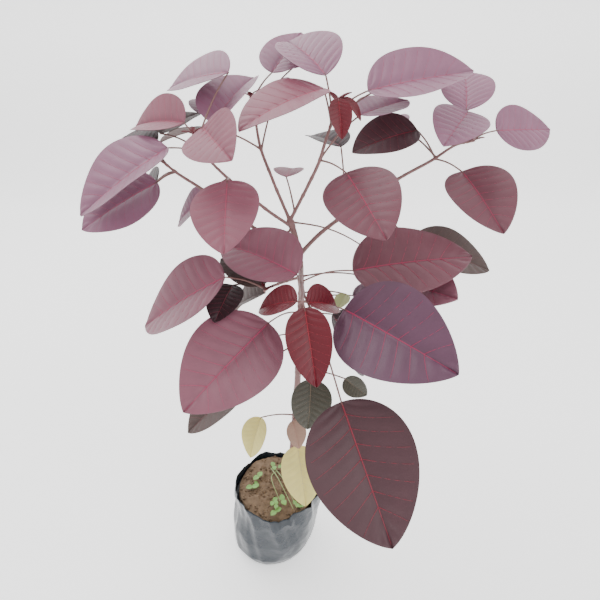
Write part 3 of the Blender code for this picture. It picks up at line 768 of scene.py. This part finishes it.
def young_leaves(path, count, size, chance):
    """The young leaves round the tip of a crown's stem."""
    leaves = []
    for i in range(count):
        whorl, place = divmod(i, WHORL)
        azimuth = 360 / WHORL * place + YOUNG_TURN * whorl + chance.uniform(*YOUNG_STRAY)
        length = size * (1 - YOUNG_SHRINK * whorl) * chance.uniform(*YOUNG_SIZES)
        at = path_length(path) - YOUNG_BACK + YOUNG_APART * whorl
        rise = chance.uniform(*YOUNG_RISES) + YOUNG_STEEPER * whorl
        blade = (length, length * YOUNG_WIDTH, azimuth, rise, 0)
        leaves.append(Leaf(at, (0, azimuth, rise), blade, YOUNG_CUP, YOUNG_DROOP))
    return leaves


def scar_swelling(distance, scars, bark):
    """How much thicker a limb is this far along, through its old leaf scars."""
    return sum(
        bark.scar_height * max(0.0, 1 - ((distance - scar) / bark.scar_width) ** 2) for scar in scars
    )


def limb_rows(path, start, end, radius_of, scars, bark):
    """A limb's sections with bark relief: fine lengthwise ridges, and a swelling at each old scar."""
    count = max(int((end - start) / LIMB_STEP), LIMB_FEWEST)
    places = [start + (end - start) * i / count for i in range(count + 1)]
    points = [point_along(path, place)[0] for place in places]
    radii = [radius_of(place) + scar_swelling(place, scars, bark) for place in places]
    rows = rings_along(points, radii, bark.sides)
    for point, row in zip(points, rows):
        for i, corner in enumerate(row):
            spot = Vector((corner.x * GRAIN_ROUND, corner.y * GRAIN_ROUND, corner.z * GRAIN_ALONG))
            away = (corner - point).normalized()
            row[i] = corner + away * bark.relief * noise.noise(spot) * NOISE_GAIN
    return rows


def scars_on(carrier):
    """Where lone leaves grow from a limb."""
    return [leaf.at for name, leaf in LONE_LEAVES.values() if name == carrier]


def build_limbs(paths, bark):
    """The trunk and the boughs as one piece with bark relief."""
    shape = Shape()
    trunk = paths["trunk"]
    whole = path_length(trunk)
    scars = scars_on("trunk") + list(OLD_SCARS)

    def trunk_radius(distance):
        return radius_at(distance / whole, TRUNK_RADII)

    shape.grid(limb_rows(trunk, TRUNK_START, whole, trunk_radius, scars, TRUNK_BARK), 0)
    end, along = point_along(trunk, whole)
    dome = ((0.0, 1.0), *TRUNK_DOME)
    radii = [TRUNK_RADII[-1][1] * share for _, share in dome]
    shape.tube([end + along * past for past, _ in dome], radii, TRUNK_BARK.sides, 0)
    for name, bough in BOUGHS.items():
        long = path_length(paths[name])
        scars = scars_on(name) + [long * share for share in BOUGH_SCARS]

        def bough_radius(distance, bough=bough, long=long):
            even = bough.foot_radius + (bough.tip_radius - bough.foot_radius) * distance / long
            return even + COLLAR * max(0.0, 1 - distance / COLLAR_LENGTH) ** 2

        end = long + BOUGH_RUNS_ON
        shape.grid(limb_rows(paths[name], BOUGH_START, end, bough_radius, scars, BOUGH_BARK), 0)
    piece = shape.finish("bark_limbs", [bark])
    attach(piece, "root")
    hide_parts("trunk", *BOUGHS)


def build_crown(name, path, made, stem_materials, chance):
    """A crown mass: its stem, its leaves and the young ones at its tip."""
    crown = CROWNS[name]
    foot = BOUGHS[crown.bough].tip_radius
    long = path_length(path)
    materials = list(stem_materials)
    numbers = {}

    def tone_number(tone):
        if tone not in numbers:
            numbers[tone] = len(materials)
            materials.extend(made[tone])
        return numbers[tone]

    def stem_radius(distance):
        return foot + (crown.tip_radius - foot) * distance / long

    shape = Shape()
    scars = sorted({round(leaf.at / SCAR_SPACING) * SCAR_SPACING for leaf in crown.leaves})
    shape.grid(limb_rows(path, 0.0, long, stem_radius, scars, STEM_BARK), BARK_NUMBER)
    for leaf, tone in zip(crown.leaves, CROWN_TONES[name]):
        grow_leaf(shape, path, leaf, tone_number(tone))
    for leaf in young_leaves(path, crown.tip_leaves, crown.tip_size, chance):
        grow_leaf(shape, path, leaf, tone_number(YOUNG_TONE), YOUNG_GRID, YOUNG_VEINS)
    piece = shape.finish(name + "_foliage", materials)
    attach(piece, "root")
    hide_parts(name)


def build_lone_leaf(name, paths, made, stem_materials):
    """A lone leaf as a piece of its own."""
    carrier, leaf = LONE_LEAVES[name]
    shape = Shape()
    grow_leaf(shape, paths[carrier], leaf, len(stem_materials))
    piece = shape.finish(name + "_dressed", [*stem_materials, *made[LONE_TONES[name]]])
    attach(piece, "root")
    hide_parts(name)


def wavy(angle, *waves):
    """A sum of waves round the bag, each with its number, size and phase."""
    return sum(size * sin(number * angle + phase) for number, size, phase in waves)


def bag_radius(angle, height):
    """The bag's radius and shift at a height, with the soft bulges of filled film."""
    for (z0, r0, x0), (z1, r1, x1) in zip(BAG_SECTIONS, BAG_SECTIONS[1:]):
        if height <= z1:
            break
    share = min(max((height - z0) / (z1 - z0), 0.0), 1.0)
    fullness = min(height / BULGE_START, 1.0)
    bulges = wavy(angle, (3, 1.0, 0.6), (5, 0.7, height / BULGE_TURN), (8, 0.4, 2))
    return r0 + (r1 - r0) * share + BAG_BULGE / 2 * fullness * bulges, x0 + (x1 - x0) * share


def film_noise(angle, fold, height):
    place = (cos(angle) * fold.around, sin(angle) * fold.around, height / fold.rise + fold.place)
    return noise.noise(Vector(place))


def film_point(angle, share, inset=0.0):
    """A point of the crumpled film: share runs from the underside's edge up to the rim."""
    height = share * BAG_SECTIONS[-1][0]
    radius, shift = bag_radius(angle, height)
    lean = angle + FOLD_LEAN * share
    fine = film_noise(angle, CRUMPLE, height)
    folds = 0.0
    for fold in FOLDS:
        crease = 1 - abs(film_noise(lean, fold, height)) * NOISE_GAIN
        folds += fold.depth * (crease - FOLD_MIDDLE)
    loose = LOOSE_FOOT + LOOSE_RIM * share**2
    radius += min(share * SMOOTH_FOOT, 1) * loose * (folds + CRUMPLE.depth * fine)
    wave = wavy(angle, *RIM_WAVES)
    near_rim = max(0.0, share - RIM_START) / (1 - RIM_START)
    lift = (BAG_RIM_WAVE * wave / 2 + RIM_CRUMPLE * fine) * near_rim
    return Vector((shift + cos(angle) * (radius - inset), sin(angle) * (radius - inset), height + lift))


def build_bag(film):
    """The film bag: crumpled walls, a soft rim, a lining down into the soil and a flat underside."""
    around, up = BAG_GRID
    angles = [2 * pi * i / around for i in range(around)]
    shift = BAG_SECTIONS[0][2]
    rows = []
    for radius, height in UNDERSIDE_RINGS:
        rows.append([Vector((shift + cos(a) * radius, sin(a) * radius, height)) for a in angles])
    for k in range(WALL_FIRST, up + 1):
        rows.append([film_point(a, k / up) for a in angles])
    rows.append([film_point(a, 1.0, RIM_INSET) + Vector((0, 0, RIM_RISE)) for a in angles])
    for k in range(up, int(up * LINING_END), -1):
        rows.append([film_point(a, k / up, FILM_THICKNESS) for a in angles])
    rows.append([film_point(a, LINING_END, LINING_INSET) for a in angles])
    shape = Shape()
    shape.grid(rows, 0)
    piece = shape.finish("film_bag", [film])
    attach(piece, "root")
    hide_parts("nursery_bag")


def soil_height(x, y):
    """The height of the soil's lumps, before it sinks towards the film."""
    place = Vector((x / SOIL_SPREAD, y / SOIL_SPREAD, SOIL_PLANE))
    lumps = sum(noise.noise(place * finer) * high for finer, high in SOIL_LUMPS)
    finer, high = SOIL_CLODS
    lumps += abs(noise.noise(place * finer)) * high
    return SOIL_TOP + SOIL_CROWN * SOIL_MIDDLE + lumps


def bag_spot(angle, height, share):
    """A spot inside the bag, at a share of the way from its middle to its film."""
    radius, shift = bag_radius(angle, height)
    reach = (radius - BAG_WALL - SOIL_GAP) * share
    return Vector((shift + cos(angle) * reach, sin(angle) * reach, height))


def build_sprouts(green, pale):
    """Small green seedlings and a few bent stems on the soil."""
    shape = Shape()
    for x, y, high, azimuth, size in SPROUTS:
        ground = soil_height(x, y) - SPROUT_SUNK
        line = [Vector((x - lean, y + lean, ground + high * share)) for lean, share in SPROUT_LINE]
        shape.tube(line, SPROUT_RADII, SPROUT_ROUND, 0)
        for turned in SPROUT_LEAVES:
            blade = (size, size * SPROUT_WIDTH, azimuth + turned, SPROUT_RISE, 0)
            leaf = Leaf(0, (0, 0, 0), blade, SPROUT_CUP, SPROUT_DROOP)
            shape.blade(line[-1], leaf, 0.0, YOUNG_GRID, (0, 1))
    for path in GREEN_STEMS:
        points = smooth_path(path, GREEN_STEM_STEPS)
        shape.tube(points, tapered(len(points) - 1, *GREEN_STEM_RADII), SPROUT_ROUND, 1)
    piece = shape.finish("sprouts", [green, pale])
    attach(piece, "root")


def build_soil(earth, chance):
    """The lumpy top of the soil, down to the bag's film, with loose crumbs."""
    shape = Shape()
    angles = [2 * pi * i / SOIL_ROUND for i in range(SOIL_ROUND)]
    rows = [[bag_spot(a, height, SOIL_REACH) for a in angles] for height in SOIL_SIDES]
    for k in range(SOIL_RINGS):
        share = SOIL_REACH * (1 - k / SOIL_RINGS)
        row = [bag_spot(a, SOIL_TOP, share) for a in angles]
        for spot in row:
            spot.z = soil_height(spot.x, spot.y) - SOIL_SINK * share**SOIL_SINK_POWER
        rows.append(row)
    shape.grid(rows, 0)
    for _ in range(CRUMBS):
        angle, share = chance.uniform(0, 2 * pi), chance.uniform(*CRUMB_PLACES) ** CRUMB_SPREAD
        size = chance.uniform(*CRUMB_SIZES)
        spot = bag_spot(angle, SOIL_TOP, share)
        spot.z = soil_height(spot.x, spot.y) - SOIL_SINK * share**SOIL_SINK_POWER + size * CRUMB_PROUD
        shape.grid(crumb_rows(spot, size, chance), 0)
    piece = shape.finish("soil_surface", [earth])
    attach(piece, "root")
    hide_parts("soil")


def crumb_rows(spot, size, chance):
    """The rings of a bumpy crumb."""
    rows = []
    for k in range(CRUMB_RINGS):
        polar = pi * (k + 0.5) / CRUMB_RINGS
        row = []
        for i in range(CRUMB_ROUND):
            a = 2 * pi * i / CRUMB_ROUND
            bumpy = size * chance.uniform(*CRUMB_BUMPS)
            row.append(spot + Vector((cos(a) * sin(polar), sin(a) * sin(polar), -cos(polar))) * bumpy)
        rows.append(row)
    return rows


def build_sweep():
    """A pale sweep that glows a little, as the stage."""
    profile = [(FLOOR_NEAR, FLOOR), (FLOOR_FAR, FLOOR)]
    for a in range(CORNER_STEP, STRAIGHT_UP + 1, CORNER_STEP):
        out, down = CORNER * sin(radians(a)), CORNER * cos(radians(a))
        profile.append((FLOOR_FAR + out, FLOOR + CORNER - down))
    profile.append((FLOOR_FAR + CORNER, WALL_TOP))
    rows = [[Vector((x, y, z)) for x in (-SWEEP_HALF, SWEEP_HALF)] for y, z in profile]
    shape = Shape()
    shape.grid(rows, 0, closed=False)
    white = shader_material("studio_white", WHITE_LOOK)
    glow = white.node_tree.nodes["Principled BSDF"]
    glow.inputs["Emission Color"].default_value = (1.0, 1.0, 1.0, 1.0)
    glow.inputs["Emission Strength"].default_value = SWEEP_GLOW
    floor = shape.finish("studio_sweep", [white])


def build_lights():
    """An even white world and two soft lamps."""
    world = bpy.data.worlds.new("studio_world")
    bpy.context.scene.world = world
    world.use_nodes = True
    sky = world.node_tree.nodes["Background"]
    sky.inputs["Color"].default_value = (1.0, 1.0, 1.0, 1.0)
    sky.inputs["Strength"].default_value = SKY_GLOW
    for name, place, aim, size, power in LAMPS:
        lamp = bpy.data.lights.new(name, "AREA")
        lamp.size = size
        lamp.energy = power
        thing = bpy.data.objects.new(name, lamp)
        thing.location = place
        thing.rotation_euler = (Vector(aim) - Vector(place)).to_track_quat("-Z", "Y").to_euler()
        bpy.context.scene.collection.objects.link(thing)


def build_camera():
    """The camera, where the photo's stood."""
    lens = bpy.data.cameras.new("camera")
    lens.sensor_width = CAMERA_SENSOR
    lens.lens = CAMERA_LENS
    lens.clip_start = CAMERA_CLIP
    eye = bpy.data.objects.new("camera", lens)
    eye.location = CAMERA_PLACE
    eye.rotation_euler = (radians(STRAIGHT_UP - CAMERA_DOWN), 0.0, 0.0)
    bpy.context.scene.collection.objects.link(eye)
    bpy.context.scene.camera = eye


def main():
    paths = stem_paths()
    bark = shader_material("bark", BARK_LOOK)
    stalk = shader_material("stalk", STALK_LOOK)
    film = shader_material("film", FILM_LOOK)
    earth = shader_material("earth", EARTH_LOOK)
    made = leaf_materials()
    build_limbs(paths, bark)
    chance = random.Random(SEED)
    for name in CROWNS:
        build_crown(name, paths[name], made, (stalk, bark), chance)
    for name in LONE_LEAVES:
        build_lone_leaf(name, paths, made, (stalk, bark))
    build_bag(film)
    build_soil(earth, random.Random(SEED + 1))
    build_sprouts(
        shader_material("sprout_green", GREEN_LOOK), shader_material("sprout_pale", PALE_LOOK)
    )
    build_sweep()
    build_lights()
    build_camera()


main()
